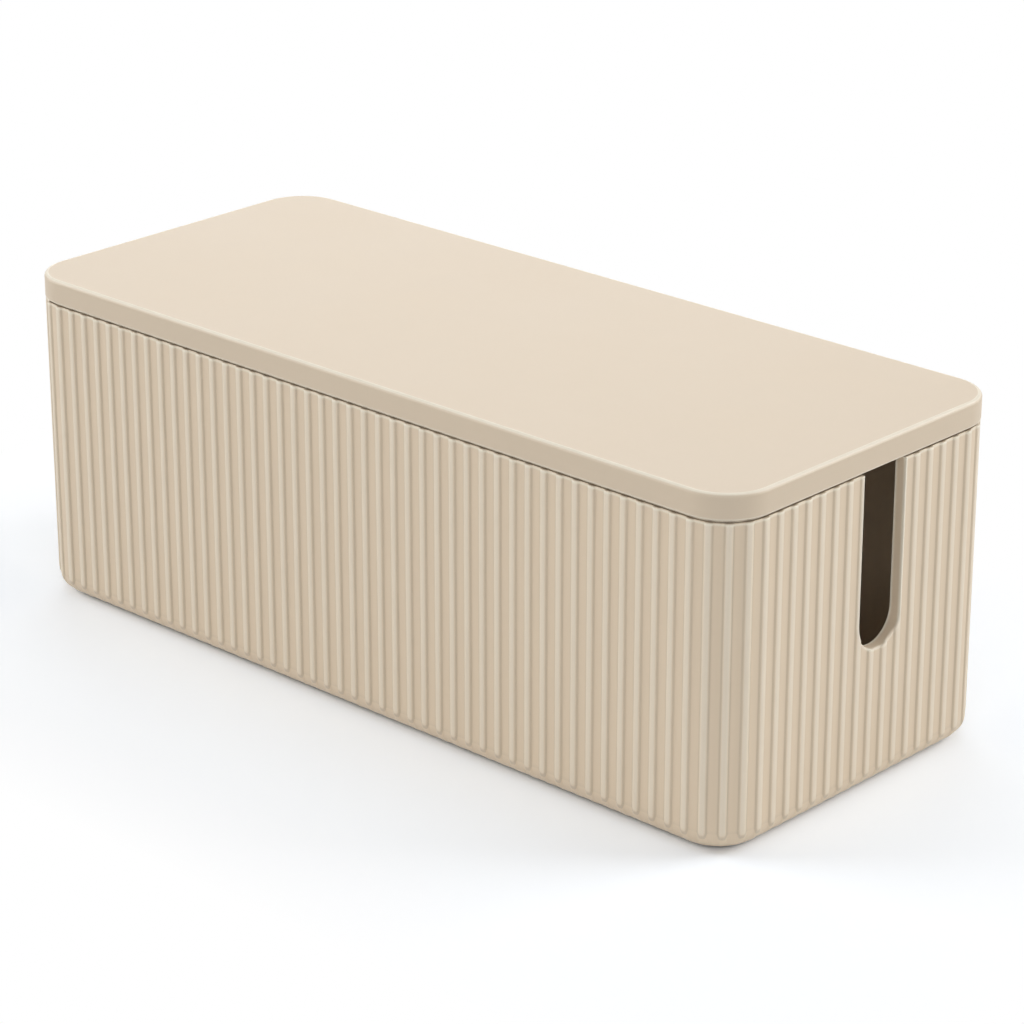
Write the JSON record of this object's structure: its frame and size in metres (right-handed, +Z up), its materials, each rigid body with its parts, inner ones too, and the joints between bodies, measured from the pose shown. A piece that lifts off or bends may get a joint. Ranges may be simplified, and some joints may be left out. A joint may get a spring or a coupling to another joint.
{
  "type": "cable management box",
  "caption": "Free-standing box with fluted sides, rounded corners, a flat lift-off lid and a cable slot in each end, for hiding a power strip and its leads.",
  "frame": {"origin": "on the floor under the middle of the box", "axes": "+X along the length towards the end that faces the viewer, +Y across the width to the rear, +Z up"},
  "size_m": [0.4, 0.167, 0.149],
  "materials": {
    "body": "warm beige moulded plastic, matt",
    "lid": "warm beige moulded plastic, matt",
    "feet": "dark rubber, matt"
  },
  "bodies": {
    "base": {"tub": "body", "foot_front_left": "feet", "foot_front_right": "feet", "foot_rear_left": "feet", "foot_rear_right": "feet"},
    "lid": {"lid": "lid"}
  },
  "joints": [
    {"name": "lid_lift", "type": "slide", "parent": "base", "child": "lid", "axis": [0, 0, 1], "range_m": [0, 0.18]}
  ]
}
